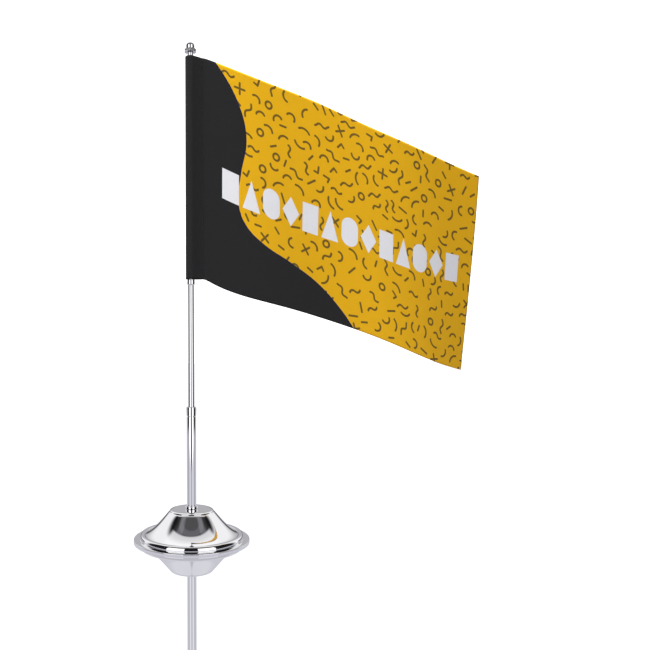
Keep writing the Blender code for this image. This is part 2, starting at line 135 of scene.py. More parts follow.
CLOTH_THICKNESS = 0.35 * MM
PANEL_STEPS = 200
SLEEVE_STEPS = 40
HEIGHT_STEPS = 134
UV_SPAN = 400.0
UV_BEFORE_SEAM = 60.0

# Print, in millimetres of flat cloth: from the seam, and down from the top edge
YELLOW = (0.80, 0.43, 0.010)
BLACK = (0.019, 0.019, 0.020)
INK = (0.165, 0.10, 0.018)
NAVY = (0.010, 0.014, 0.055)
WHITE = (0.80, 0.80, 0.83)
BORDER = ((0, 12), (28, 34), (57, 42.5), (92, 37), (118, 34.5), (137, 43), (149, 62),
          (157, 88), (168, 118), (184, 142), (200, 159))
STROKE = 1.0
GLYPH_CLEARANCE = 5.7
GLYPH_TRIES = 9000
ROW_START = 17.0
ROW_END = 285.0
ROW_SHAPES = 13
ROW_HALF_HEIGHT = 13.6


# ---------------------------------------------------------------- node arithmetic

class Wire:
    """A number in a node tree, usable in ordinary sums."""

    def __init__(self, tree, socket):
        self.tree = tree
        self.socket = socket

    def __add__(self, other):
        return calculate("ADD", self, other)

    def __sub__(self, other):
        return calculate("SUBTRACT", self, other)

    def __rsub__(self, other):
        return calculate("SUBTRACT", other, self)

    def __mul__(self, other):
        return calculate("MULTIPLY", self, other)

    def __truediv__(self, other):
        return calculate("DIVIDE", self, other)

    __radd__ = __add__
    __rmul__ = __mul__


def feed(tree, socket, value):
    """Link a Wire into a socket, or set a plain number on it."""
    if isinstance(value, Wire):
        tree.links.new(value.socket, socket)
    else:
        socket.default_value = value


def calculate(operation, *values):
    """One Math node on Wires and plain numbers."""
    tree = next(value.tree for value in values if isinstance(value, Wire))
    node = tree.nodes.new("ShaderNodeMath")
    node.operation = operation
    for socket, value in zip(node.inputs, values):
        feed(tree, socket, value)
    return Wire(tree, node.outputs[0])


def ramp(value, low, high):
    """A smooth rise from 0 at low to 1 at high."""
    node = value.tree.nodes.new("ShaderNodeMapRange")
    node.interpolation_type = "SMOOTHSTEP"
    feed(value.tree, node.inputs["Value"], value)
    node.inputs["From Min"].default_value = low
    node.inputs["From Max"].default_value = high
    return Wire(value.tree, node.outputs["Result"])


def between(value, low, high, soft):
    """1 inside low..high, with soft edges centred on both ends."""
    rise = ramp(value, low - soft / 2, low + soft / 2)
    return rise * (1.0 - ramp(value, high - soft / 2, high + soft / 2))


def length(x, y):
    return calculate("SQRT", x * x + y * y)


def blend_colour(factor, first, second):
    """Mix two colours, each a tuple or a Wire."""
    tree = factor.tree
    node = tree.nodes.new("ShaderNodeMix")
    node.data_type = "RGBA"
    tree.links.new(factor.socket, node.inputs[0])
    for socket, colour in ((node.inputs[6], first), (node.inputs[7], second)):
        if isinstance(colour, Wire):
            tree.links.new(colour.socket, socket)
        else:
            socket.default_value = (*colour, 1.0)
    return Wire(tree, node.outputs[2])


def split(tree, socket):
    node = tree.nodes.new("ShaderNodeSeparateXYZ")
    tree.links.new(socket, node.inputs[0])
    return [Wire(tree, output) for output in node.outputs]


def noise(tree, vector, scale, detail, roughness=0.5):
    node = tree.nodes.new("ShaderNodeTexNoise")
    node.inputs["Scale"].default_value = scale
    node.inputs["Detail"].default_value = detail
    node.inputs["Roughness"].default_value = roughness
    tree.links.new(vector, node.inputs["Vector"])
    return Wire(tree, node.outputs["Fac"])


def bump(tree, height, distance, strength, below=None):
    node = tree.nodes.new("ShaderNodeBump")
    node.inputs["Distance"].default_value = distance
    node.inputs["Strength"].default_value = strength
    tree.links.new(height.socket, node.inputs["Height"])
    if below is not None:
        tree.links.new(below, node.inputs["Normal"])
    return node.outputs["Normal"]


def new_material(name):
    """A fresh Principled material: its tree, its shader and object coordinates."""
    made = bpy.data.materials.new(name)
    made.use_nodes = True
    tree = made.node_tree
    place = tree.nodes.new("ShaderNodeTexCoord").outputs["Object"]
    return made, tree, tree.nodes["Principled BSDF"], place


# ---------------------------------------------------------------- materials

def chrome(name, seed, polish=0.035):
    """Plated chrome: a faint lathe grain, fine unevenness, slow changes of tone and small changes of gloss.
    """
    made, tree, shader, place = new_material(name)
    shader.inputs["Metallic"].default_value = 1.0
    x, y, z = split(tree, place)
    patches = noise(tree, place, 45.0 + seed, 3.0)
    fine = noise(tree, place, 900.0 + seed, 2.0)
    tone = blend_colour(patches, (0.83, 0.83, 0.85), (0.88, 0.88, 0.895))
    tree.links.new(tone.socket, shader.inputs["Base Color"])
    gloss = patches * 0.02 + fine * 0.012 + (polish - 0.016)
    tree.links.new(gloss.socket, shader.inputs["Roughness"])
    grain = calculate("SINE", z * 9000.0 + length(x, y) * 9000.0)
    tree.links.new(bump(tree, grain * 0.5 + fine, 0.0000015, 0.5), shader.inputs["Normal"])
    return made


def nut_chrome(name):
    """Chrome with milled, duller flats below the polished dome."""
    made = chrome(name, 13.0)
    tree = made.node_tree
    shader = tree.nodes["Principled BSDF"]
    z = split(tree, tree.nodes["Texture Coordinate"].outputs["Object"])[2]
    milled = 1.0 - ramp(z, NUT_LOW + NUT_HEX_HEIGHT - 0.1 * MM, NUT_LOW + NUT_HEX_HEIGHT + 0.1 * MM)
    gloss = Wire(tree, shader.inputs["Roughness"].links[0].from_socket)
    tree.links.new((gloss + milled * 0.2).socket, shader.inputs["Roughness"])
    return made


def felt(name):
    """Pressed felt: tangled fibres and uneven nap."""
    made, tree, shader, place = new_material(name)
    tangle = noise(tree, place, 2600.0, 6.0, 0.7)
    clumps = noise(tree, place, 260.0, 4.0)
    tone = blend_colour(tangle * 0.6 + clumps * 0.4, (0.010, 0.010, 0.012), (0.055, 0.055, 0.062))
    tree.links.new(tone.socket, shader.inputs["Base Color"])
    shader.inputs["Roughness"].default_value = 0.97
    shader.inputs["Sheen Weight"].default_value = 0.4
    tree.links.new(bump(tree, tangle + clumps, 0.0003, 0.6), shader.inputs["Normal"])
    return made


def cast_iron(name):
    """Sand-cast grey iron with a pitted skin."""
    made, tree, shader, place = new_material(name)
    grit = noise(tree, place, 1500.0, 5.0, 0.65)
    stains = noise(tree, place, 90.0, 4.0)
    tone = blend_colour(stains, (0.050, 0.048, 0.047), (0.12, 0.115, 0.11))
    tree.links.new(tone.socket, shader.inputs["Base Color"])
    shader.inputs["Metallic"].default_value = 0.7
    tree.links.new((0.55 + grit * 0.3).socket, shader.inputs["Roughness"])
    tree.links.new(bump(tree, grit, 0.0002, 0.7), shader.inputs["Normal"])
    return made


def turned_metal(name, dark, light, roughness, pitch):
    """Machined metal: tool rings and handling stains."""
    made, tree, shader, place = new_material(name)
    x, y, z = split(tree, place)
    rings = calculate("SINE", (length(x, y) + z) * (math.tau / pitch))
    stains = noise(tree, place, 220.0, 5.0, 0.6)
    tone = blend_colour(stains, dark, light)
    tree.links.new(tone.socket, shader.inputs["Base Color"])
    shader.inputs["Metallic"].default_value = 1.0
    tree.links.new((stains * 0.16 + rings * 0.02 + roughness).socket, shader.inputs["Roughness"])
    tree.links.new(bump(tree, rings * 0.5 + stains, 0.00002, 0.5), shader.inputs["Normal"])
    return made


def nylon(name):
    """Moulded nylon, slightly cloudy."""
    made, tree, shader, place = new_material(name)
    cloud = noise(tree, place, 180.0, 4.0)
    fine = noise(tree, place, 1800.0, 3.0)
    tone = blend_colour(cloud, (0.62, 0.60, 0.52), (0.78, 0.77, 0.71))
    tree.links.new(tone.socket, shader.inputs["Base Color"])
    tree.links.new((cloud * 0.2 + 0.32).socket, shader.inputs["Roughness"])
    shader.inputs["Subsurface Weight"].default_value = 0.15
    shader.inputs["Subsurface Radius"].default_value = (0.002, 0.0015, 0.001)
    tree.links.new(bump(tree, fine, 0.00002, 0.4), shader.inputs["Normal"])
    return made


def finish_cad_nodes(nodes):
    """Give every CAD node that stays in view its procedural material."""
    finishes = {
        "base_weight": cast_iron("look_weight"),
        "felt_pad": felt("look_felt"),
        "base_screw": turned_metal("look_screw", (0.40, 0.41, 0.43), (0.60, 0.61, 0.62), 0.26, 0.0006),
        "base_washer": turned_metal("look_washer", (0.42, 0.42, 0.43), (0.62, 0.62, 0.62), 0.30, 0.0008),
        "lock_washer": turned_metal("look_lock", (0.16, 0.16, 0.18), (0.30, 0.30, 0.32), 0.34, 0.0007),
        "top_stud": turned_metal("look_stud", (0.42, 0.42, 0.44), (0.62, 0.62, 0.63), 0.28, 0.0006),
        "foot_plug": turned_metal("look_plug", (0.56, 0.40, 0.17), (0.78, 0.60, 0.28), 0.24, 0.0009),
        "slide_plug": turned_metal("look_slide", (0.56, 0.41, 0.18), (0.79, 0.62, 0.30), 0.22, 0.0009),
        "friction_spring": turned_metal("look_spring", (0.50, 0.30, 0.14), (0.74, 0.50, 0.26), 0.28, 0.001),
        "guide_liner": nylon("look_liner"),
    }
    for name, made in finishes.items():
        node = nodes[name]
        for slot in node.material_slots:
            slot.material = made


# ---------------------------------------------------------------- turned pieces

def arc(centre, radius, start, end, steps):
    """Points on an arc, angles in degrees from +radius towards +height."""
    angles = [math.radians(start + (end - start) * i / steps) for i in range(steps + 1)]
    return [(centre[0] + radius * math.cos(a), centre[1] + radius * math.sin(a)) for a in angles]


def bezier(start, pull_start, pull_end, end, steps):
    """Points on a cubic curve, both ends included."""
    points = []
    for i in range(steps + 1):
        t = i / steps
        weights = ((1 - t) ** 3, 3 * t * (1 - t) ** 2, 3 * t * t * (1 - t), t ** 3)
        corners = (start, pull_start, pull_end, end)
        points.append(tuple(sum(w * c[k] for w, c in zip(weights, corners)) for k in (0, 1)))
    return points


def inset(line, distance):
    """The same open line moved sideways by a distance, to the right of its direction."""
    moved = []
    for i, point in enumerate(line):
        before = Vector(line[max(i - 1, 0)])
        after = Vector(line[min(i + 1, len(line) - 1)])
        along = (after - before).normalized()
        moved.append((point[0] + along.y * distance, point[1] - along.x * distance))
    return moved


def solid_of_rings(name, rings, finish):
    """A solid from closed rings of points, the last ring joined back to the first."""
    count = len(rings[0])
    points = [point for ring in rings for point in ring]
    faces = []
    for j in range(len(rings)):
        first = j * count
        second = ((j + 1) % len(rings)) * count
        for i in range(count):
            k = (i + 1) % count
            faces.append((first + i, first + k, second + k, second + i))
    mesh = bpy.data.meshes.new(name)
    mesh.from_pydata(points, [], faces)
    bm = bmesh.new()
    bm.from_mesh(mesh)
    bmesh.ops.remove_doubles(bm, verts=bm.verts, dist=1e-7)
    bmesh.ops.recalc_face_normals(bm, faces=bm.faces)
    bm.to_mesh(mesh)
    bm.free()
    mesh.shade_smooth()
    mesh.set_sharp_from_angle(angle=math.radians(30))
    mesh.materials.append(finish)
    made = bpy.data.objects.new(name, mesh)
    bpy.context.collection.objects.link(made)
    return made


def turned(name, outline, finish):
    """Turn a closed outline of (radius, height) points about the pole's axis."""
    angles = [math.tau * i / TURNED_SEGMENTS for i in range(TURNED_SEGMENTS)]
    rings = [[(r * math.cos(a), r * math.sin(a), z) for a in angles] for r, z in outline]
    return solid_of_rings(name, rings, finish)


def tube(name, radius, low, high, chamfer, finish):
    inner = radius - TUBE_WALL
    outline = [(inner, low), (radius - chamfer, low), (radius, low + chamfer),
               (radius, high - chamfer), (radius - chamfer, high), (inner, high)]
    return turned(name, outline, finish)


def shell_outline():
    """The spun shell's whole section: lip, bead, flare, shoulder, disc, and back inside."""
    lip = [(RIM_RADIUS, LIP_UNDERSIDE + 0.5 * MM)]
    lip += arc((RIM_RADIUS - 0.3 * MM, LIP_TOP - 0.3 * MM), 0.3 * MM, 0, 90, 5)
    lip.append((LIP_INNER_RADIUS, LIP_TOP))
    bead = bezier((LIP_INNER_RADIUS - 0.1 * MM, LIP_TOP + 0.3 * MM),
                  (LIP_INNER_RADIUS - 0.3 * MM, BEAD_TOP - 1.2 * MM),
                  (BEAD_TOP_RADIUS + 1.8 * MM, BEAD_TOP), (BEAD_TOP_RADIUS, BEAD_TOP), 28)
    bead += bezier((BEAD_TOP_RADIUS, BEAD_TOP), (BEAD_TOP_RADIUS - 1.0 * MM, BEAD_TOP),
                   (FLARE_FOOT_RADIUS + 0.6 * MM, FLARE_FOOT + 0.5 * MM),
                   (FLARE_FOOT_RADIUS + 0.2 * MM, FLARE_FOOT + 0.05 * MM), 12)[1:]
    flare = bezier((FLARE_FOOT_RADIUS, FLARE_FOOT),
                   (FLARE_FOOT_RADIUS - FLARE_FOOT_PULL[0], FLARE_FOOT + FLARE_FOOT_PULL[1]),
                   (FLARE_TOP_RADIUS + FLARE_TOP_PULL[0], FLARE_TOP - FLARE_TOP_PULL[1]),
                   (FLARE_TOP_RADIUS, FLARE_TOP), 48)
    neck = bezier((FLARE_TOP_RADIUS, FLARE_TOP),
                  (FLARE_TOP_RADIUS - NECK_FOOT_PULL[0], FLARE_TOP + NECK_FOOT_PULL[1]),
                  (NECK_RADIUS + NECK_TOP_PULL[0], NECK_TOP - NECK_TOP_PULL[1]),
                  (NECK_RADIUS, NECK_TOP), 12)[1:]
    shoulder = bezier((NECK_RADIUS, NECK_TOP),
                      (NECK_RADIUS - SHOULDER_PULL[0], NECK_TOP + SHOULDER_PULL[1]),
                      (DISC_RADIUS + DISC_PULL, DISC_TOP), (DISC_RADIUS, DISC_TOP), 24)[1:]
    outer = lip + bead + flare + neck + shoulder
    inside = inset(outer[len(lip) - 1:], -SHELL_WALL)
    inside[0] = (LIP_INNER_RADIUS - SHELL_WALL, LIP_UNDERSIDE)
    hole = [(SCREW_HOLE_RADIUS, DISC_TOP), (SCREW_HOLE_RADIUS, DISC_TOP - SHELL_WALL)]
    return outer + hole + inside[::-1] + [(RIM_RADIUS - 0.4 * MM, LIP_UNDERSIDE)]


def ferrule_outline():
    bore = LOWER_RADIUS + 0.1 * MM
    floor = FERRULE_LOW + 1.0 * MM
    crown = arc((FERRULE_RADIUS - 0.6 * MM, FERRULE_HIGH - 0.6 * MM), 0.6 * MM, 0, 90, 10)
    foot = [(SCREW_HOLE_RADIUS, FERRULE_LOW), (FERRULE_RADIUS - 0.2 * MM, FERRULE_LOW),
            (FERRULE_RADIUS, FERRULE_LOW + 0.2 * MM)]
    return foot + crown + [(bore, FERRULE_HIGH), (bore, floor), (SCREW_HOLE_RADIUS, floor)]


def cap_outline():
    low = MOUTH_TOP - CAP_HEIGHT
    bottom = low - CAP_SPIGOT
    spigot = LOWER_RADIUS - TUBE_WALL - 0.1 * MM
    crown = arc((CAP_RADIUS - 0.5 * MM, MOUTH_TOP - 0.5 * MM), 0.5 * MM, 0, 90, 10)
    start = [(CAP_BORE, bottom), (spigot, bottom), (spigot, low), (CAP_RADIUS - JOINT_CHAMFER, low),
             (CAP_RADIUS, low + JOINT_CHAMFER)]
    end = [(CAP_LIP, MOUTH_TOP), (CAP_LIP, MOUTH_TOP - 0.8 * MM), (CAP_BORE, MOUTH_TOP - 0.8 * MM)]
    return start + crown + end


def stop_ring_outline():
    bore = UPPER_RADIUS + 0.1 * MM
    low = RING_TOP - RING_HEIGHT
    belly = bezier((bore + 0.15 * MM, low), (RING_RADIUS + 0.1 * MM, low + 0.7 * MM),
                   (RING_RADIUS, low + 1.0 * MM), (RING_RADIUS, low + 2.2 * MM), 16)
    crown = arc((RING_RADIUS - 0.4 * MM, RING_TOP - 0.5 * MM), 0.4 * MM, 0, 90, 8)
    return [(bore, low)] + belly + crown + [(bore, RING_TOP - 0.1 * MM)]


def cap_nut(finish):
    """The domed nut: hexagon cut by its chamfer cones, polished dome, blind hole."""
    flat = NUT_ACROSS_FLATS / 2
    shoulder = NUT_LOW + NUT_HEX_HEIGHT
    lean = math.tan(math.radians(32))
    count = 30 * 6
    angles = [NUT_CORNER_ANGLE + math.tau * i / count for i in range(count)]

    def hexagon(angle):
        part = (angle - NUT_CORNER_ANGLE) % (math.pi / 3) - math.pi / 6
        return flat / math.cos(part)

    def ring(radius, height):
        return [(radius * math.cos(a), radius * math.sin(a), height) for a in angles]

    def hex_ring(start, direction):
        points = []
        for a in angles:
            radius = hexagon(a)
            depth = max(radius - (flat - 0.25 * MM), 0.0) * lean
            points.append((radius * math.cos(a), radius * math.sin(a), start + direction * depth))
        return points

    rings = [ring(NUT_BORE, NUT_LOW), ring(flat - 0.25 * MM, NUT_LOW), hex_ring(NUT_LOW, 1.0),
             hex_ring(shoulder, -1.0), ring(flat - 0.25 * MM, shoulder), ring(DOME_RADIUS, shoulder)]
    dome = arc((0.0, NUT_TOP - DOME_RADIUS), DOME_RADIUS, 0, 90, 32)
    rings += [ring(radius, height) for radius, height in dome]
    rings += [ring(0.0, NUT_LOW + 7.4 * MM), ring(NUT_BORE, NUT_LOW + 6.6 * MM)]
    return solid_of_rings("cap_nut_fine", rings, finish)


def make_turned_pieces():
    """Finely turned chrome in place of the CAD's coarser rounds."""
    pieces = {
        "base_shell": turned("base_shell_fine", shell_outline(), chrome("look_shell", 0.0)),
        "foot_ferrule": turned("foot_ferrule_fine", ferrule_outline(), chrome("look_ferrule", 3.0)),
        "lower_tube": tube("lower_tube_fine", LOWER_RADIUS, LOWER_TUBE_LOW, LOWER_TUBE_HIGH, 0.4 * MM,
                           chrome("look_lower_tube", 5.0)),
        "guide_cap": turned("guide_cap_fine", cap_outline(), chrome("look_guide_cap", 7.0)),
        "upper_tube": tube("upper_tube_fine", UPPER_RADIUS, UPPER_TUBE_LOW, UPPER_TUBE_HIGH, 0.15 * MM,
                           chrome("look_upper_tube", 9.0)),
        "stop_ring": turned("stop_ring_fine", stop_ring_outline(), chrome("look_stop_ring", 11.0)),
        "cap_nut": cap_nut(nut_chrome("look_cap_nut")),
    }
    bodies = {"upper_tube": "upper_pole", "stop_ring": "upper_pole", "cap_nut": "upper_pole"}
    for node, piece in pieces.items():
        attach(piece, bodies.get(node, "base"))
        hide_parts(node)


# ---------------------------------------------------------------- flag shape

def droop_angle(along, down):
    """How far the weft runs downhill, for 0..1 along the flag and 0..1 down its hoist."""
    turn = math.tau * along
    even = DROOP + DROOP_ALONG * along
    even = even + DROOP_SWAY[0] * np.cos(turn) + DROOP_SWAY[1] * np.sin(turn)
    lower = DROOP_BELOW + DROOP_BELOW_SWAY[0] * np.cos(turn) + DROOP_BELOW_SWAY[1] * np.sin(turn)
    lower = lower + DROOP_AT_SEAM_FOOT * np.exp(-SEAM_FOOT_FADE * along)
    return (even + down * lower) * (1 - np.exp(-along * FLAG_LENGTH / SEAM_STIFFNESS))


def billow(along, down):
    """How far the cloth stands off the flag's plane: two slanting waves and an even bow."""
    run = along * FLAG_LENGTH
    wave = WAVE_TOP + (WAVE_BOTTOM - WAVE_TOP) * down
    wave = wave * np.sin(math.tau * (run / WAVE_LENGTH - WAVE_SLANT * down) + WAVE_START)
    ripple = RIPPLE * np.sin(math.tau * (run / RIPPLE_LENGTH - RIPPLE_SLANT * down) + RIPPLE_START)
    bow = (BOW_TOP + (BOW_BOTTOM - BOW_TOP) * down) * along * along
    return (wave + ripple) * (1 - np.exp(-run / WAVE_FADE)) + bow


def panel_row(down):
    """One weft thread from the seam to the fly, walked at its true length."""
    along = np.linspace(0.0, 1.0, PANEL_STEPS + 1)
    step = FLAG_LENGTH / PANEL_STEPS
    off = billow(along, down)
    fall = step * np.sin(droop_angle((along[:-1] + along[1:]) / 2, down))
    forward = np.sqrt(np.maximum(step ** 2 - np.diff(off) ** 2 - fall ** 2, 0.0))
    x = SEAM_X + np.concatenate([[0.0], np.cumsum(forward)])
    z = FLAG_TOP - down * FLAG_HEIGHT - np.concatenate([[0.0], np.cumsum(fall)])
    return np.stack([x, off, z], axis=1)


def sleeve_row(down):
    """The fold round the pole, from its loose end behind the seam to the seam in front."""
    tangent = math.acos(SLEEVE_RADIUS / SEAM_X)
    angle = np.linspace(tangent, math.tau - tangent, SLEEVE_STEPS + 1)
    x = np.concatenate([[SEAM_X - 0.6 * MM, 0.82 * SEAM_X, 0.5 * SEAM_X], SLEEVE_RADIUS * np.cos(angle)])
    climb = (SLEEVE_RADIUS * math.sin(tangent) - SEAM_LIFT) / (SLEEVE_RADIUS * math.cos(tangent) - x[0])
    y = np.concatenate([SEAM_LIFT + (x[:3] - x[0]) * climb, SLEEVE_RADIUS * np.sin(angle)])
    z = np.full(len(x), FLAG_TOP - down * FLAG_HEIGHT)
    return np.stack([x, y, z], axis=1)


def cloth_points():
    """The cloth's middle surface as rows of points, and each point's place on the flat cloth."""
    rows = []
    flat = []
    for j in range(HEIGHT_STEPS + 1):
        down = j / HEIGHT_STEPS
        sleeve = sleeve_row(down)
        panel = panel_row(down)
        row = np.concatenate([sleeve, panel])
        reach = np.linalg.norm(np.diff(row, axis=0), axis=1)
        run = np.concatenate([[0.0], np.cumsum(reach)])
        run = run - run[len(sleeve)]
        run[len(sleeve):] = np.linspace(0.0, FLAG_LENGTH, PANEL_STEPS + 1)
        rows.append(row)
        flat.append(np.stack([run, np.full(len(run), down * FLAG_HEIGHT)], axis=1))
    return np.array(rows), np.array(flat) / MM


# ---------------------------------------------------------------- printed figures

FIGURES = (
    ("line", 2.9, 0.0, 4.0), ("line", 4.3, 0.0, 4.0), ("line", 5.2, 1.4, 5.2), ("line", 7.2, 1.35, 5.3),
    ("line", 5.6, 1.5, 5.6), ("line", 6.8, 1.4, 6.0), ("arc", 4.5, 1.15, 0.0), ("arc", 7.6, 0.78, 0.0),
    ("arc", 5.6, 0.95, 0.0), ("arc", 4.3, 1.45, 0.0), ("ring", 3.1, math.pi, 0.0),
    ("cross", 4.9, 0.0, 0.0), ("angle", 5.8, 3.9, 0.72),
)
KINDS = {"line": 0, "arc": 1, "ring": 1, "cross": 2, "angle": 3}


def figure_points(figure):
    """Points along a printed figure's strokes, in its own frame."""
    name, first, second, third = figure
    if name == "line":
        x = np.linspace(-first, first, 9)
        return np.stack([x, second * np.sin(math.tau * x / third / 2)], axis=1)
    if name in ("arc", "ring"):
        angle = np.linspace(-second, second, 13)
        return np.stack([first * np.cos(angle), first * np.sin(angle)], axis=1)
    reach = np.linspace(0.0, 1.0, 4)
    if name == "cross":
        arms = [reach[:, None] * first * np.array([c, s]) for c, s in ((1, 0), (0, 1), (-1, 0), (0, -1))]
        return np.concatenate(arms)
    upper = reach[:, None] * first * np.array([math.cos(third), math.sin(third)])
    lower = reach[:, None] * second * np.array([math.cos(third), -math.sin(third)])
    return np.concatenate([upper, lower])


def scatter_figures():
    """Throw figures over the flat cloth so that no two strokes come closer than the clearance."""
    rng = np.random.default_rng(41)
    placed = []
    taken = np.full((1, 2), -999.0)
    for attempt in range(GLYPH_TRIES):
        figure = FIGURES[rng.integers(len(FIGURES))]
        turn = rng.uniform(0.0, math.tau)
        centre = rng.uniform((-6.0, -6.0), (FLAG_LENGTH / MM + 6.0, FLAG_HEIGHT / MM + 6.0))
        points = figure_points(figure)
        if figure[0] == "arc":
            centre = centre - figure[1] * np.array([math.cos(turn), math.sin(turn)])
        spin = np.array([[math.cos(turn), math.sin(turn)], [-math.sin(turn), math.cos(turn)]])
        points = points @ spin + centre
        near = taken[np.abs(taken - points.mean(axis=0)).max(axis=1) < 24.0]
        if len(near):
            gaps = np.linalg.norm(near[:, None] - points[None], axis=2)
            if gaps.min() < GLYPH_CLEARANCE:
                continue
        taken = np.concatenate([taken, points])
        placed.append((figure, turn, centre, points))
    return placed


def print_attributes(mesh, flat_corners):
    """Give each cloth face the nearest figure, with the face's corners in that figure's frame."""
    placed = scatter_figures()
    strokes = np.concatenate([points for _, _, _, points in placed])
    owner = np.concatenate([np.full(len(points), k) for k, (_, _, _, points) in enumerate(placed)])
    centres = flat_corners.mean(axis=1)
    nearest = np.zeros(len(centres), int)
    for start in range(0, len(centres), 2000):
        part = centres[start:start + 2000]
        gaps = ((part[:, None, 0] - strokes[None, :, 0]) ** 2 + (part[:, None, 1] - strokes[None, :, 1]) ** 2)
        nearest[start:start + 2000] = owner[gaps.argmin(axis=1)]
    turn = np.array([item[1] for item in placed])[nearest][:, None]
    centre = np.array([item[2] for item in placed])[nearest][:, None, :]
    kind = np.array([KINDS[item[0][0]] for item in placed], float)[nearest]
    sizes = np.array([item[0][1:] for item in placed], float)[nearest]
    off = flat_corners - centre
    x = off[..., 0] * np.cos(turn) + off[..., 1] * np.sin(turn)
    y = -off[..., 0] * np.sin(turn) + off[..., 1] * np.cos(turn)
    place = np.stack([x, y, np.repeat(kind[:, None], 4, axis=1)], axis=2)
    for name, values in (("figure_place", place), ("figure_size", np.repeat(sizes[:, None, :], 4, axis=1))):
        attribute = mesh.attributes.new(name, "FLOAT_VECTOR", "CORNER")
        attribute.data.foreach_set("vector", values.astype(np.float32).ravel())


def figure_distance(tree):
    """Distance from the middle of the nearest printed stroke, in millimetres of flat cloth."""
    wires = []
    for name in ("figure_place", "figure_size"):
        node = tree.nodes.new("ShaderNodeAttribute")
        node.attribute_name = name
        wires += split(tree, node.outputs["Vector"])
    x, y, kind, first, second, third = wires
    tall = calculate("ABSOLUTE", y)
    wide = calculate("ABSOLUTE", x)
    # wavy or straight line: half length, height of the wave, half its period
    held = calculate("MINIMUM", calculate("MAXIMUM", x, first * -1.0), first)
    pace = calculate("DIVIDE", math.pi, third)
    rise = second * calculate("SINE", held * pace)
    slope = second * pace * calculate("COSINE", held * pace)
    line = length(x - held, (y - rise) / calculate("SQRT", slope * slope + 1.0))
    # arc or ring: radius, half angle
    swing = calculate("ABSOLUTE", calculate("ARCTAN2", y, x))
    on_arc = calculate("ABSOLUTE", length(x, y) - first)
    at_end = length(x - first * calculate("COSINE", second), tall - first * calculate("SINE", second))
    past = calculate("GREATER_THAN", swing, second)
    arc = on_arc + (at_end - on_arc) * past
    # cross: half arm
    cross = length(calculate("MAXIMUM", calculate("MAXIMUM", wide, tall) - first, 0.0),
                   calculate("MINIMUM", wide, tall))
    # angle: two arms of their own length, half opening
    above = calculate("GREATER_THAN", y, 0.0)
    arm = second + (first - second) * above
    cosine = calculate("COSINE", third)
    sine = calculate("SINE", third)
    reach = calculate("MINIMUM", calculate("MAXIMUM", x * cosine + tall * sine, 0.0), arm)
    angle = length(x - reach * cosine, tall - reach * sine)
    result = line
    for number, shape in ((0.5, arc), (1.5, cross), (2.5, angle)):
        result = result + (shape - result) * calculate("GREATER_THAN", kind, number)
    return result


def border_place(tree, down):
    """Where the black field ends at this height, in millimetres from the seam."""
    node = tree.nodes.new("ShaderNodeFloatCurve")
    curve = node.mapping.curves[0]
    while len(curve.points) < len(BORDER):
        curve.points.new(0.5, 0.5)
    for point, (height, place) in zip(curve.points, BORDER):
        point.location = (height * MM / FLAG_HEIGHT, place * MM / FLAG_LENGTH)
    node.mapping.update()
    tree.links.new((down * (MM / FLAG_HEIGHT)).socket, node.inputs["Value"])
    return Wire(tree, node.outputs[0]) * (FLAG_LENGTH / MM)


def row_of_shapes(run, down):
    """A plain row of blocks, pills, triangles and diamonds: negative inside a shape."""
    pitch = (ROW_END - ROW_START) / ROW_SHAPES
    steps = (run - ROW_START) / pitch
    number = calculate("FLOOR", steps)
    x = calculate("ABSOLUTE", (steps - number - 0.5) * pitch)
    bend = (run - 120.0) / 100.0
    y = down - 110.0 + bend * bend * 4.2
    tall = calculate("ABSOLUTE", y)
    half = pitch / 2 - 1.5
    block = calculate("MAXIMUM", x - half + 0.6, tall - ROW_HALF_HEIGHT)
    end = calculate("MAXIMUM", tall - (ROW_HALF_HEIGHT - half), 0.0)
    pill = length(x, end) - half
    side = (x - (y + ROW_HALF_HEIGHT) * (half / (2 * ROW_HALF_HEIGHT))) * 0.93
    triangle = calculate("MAXIMUM", side, tall - ROW_HALF_HEIGHT)
    diamond = (x / half + tall / ROW_HALF_HEIGHT - 1.0) * 7.0
    kind = calculate("FLOORED_MODULO", number, 4.0)
    result = block
    for limit, shape in ((0.5, triangle), (1.5, pill), (2.5, diamond)):
        result = result + (shape - result) * calculate("GREATER_THAN", kind, limit)
    outside = calculate("MAXIMUM", ROW_START - run, run - ROW_END)
    return calculate("MAXIMUM", result, outside)


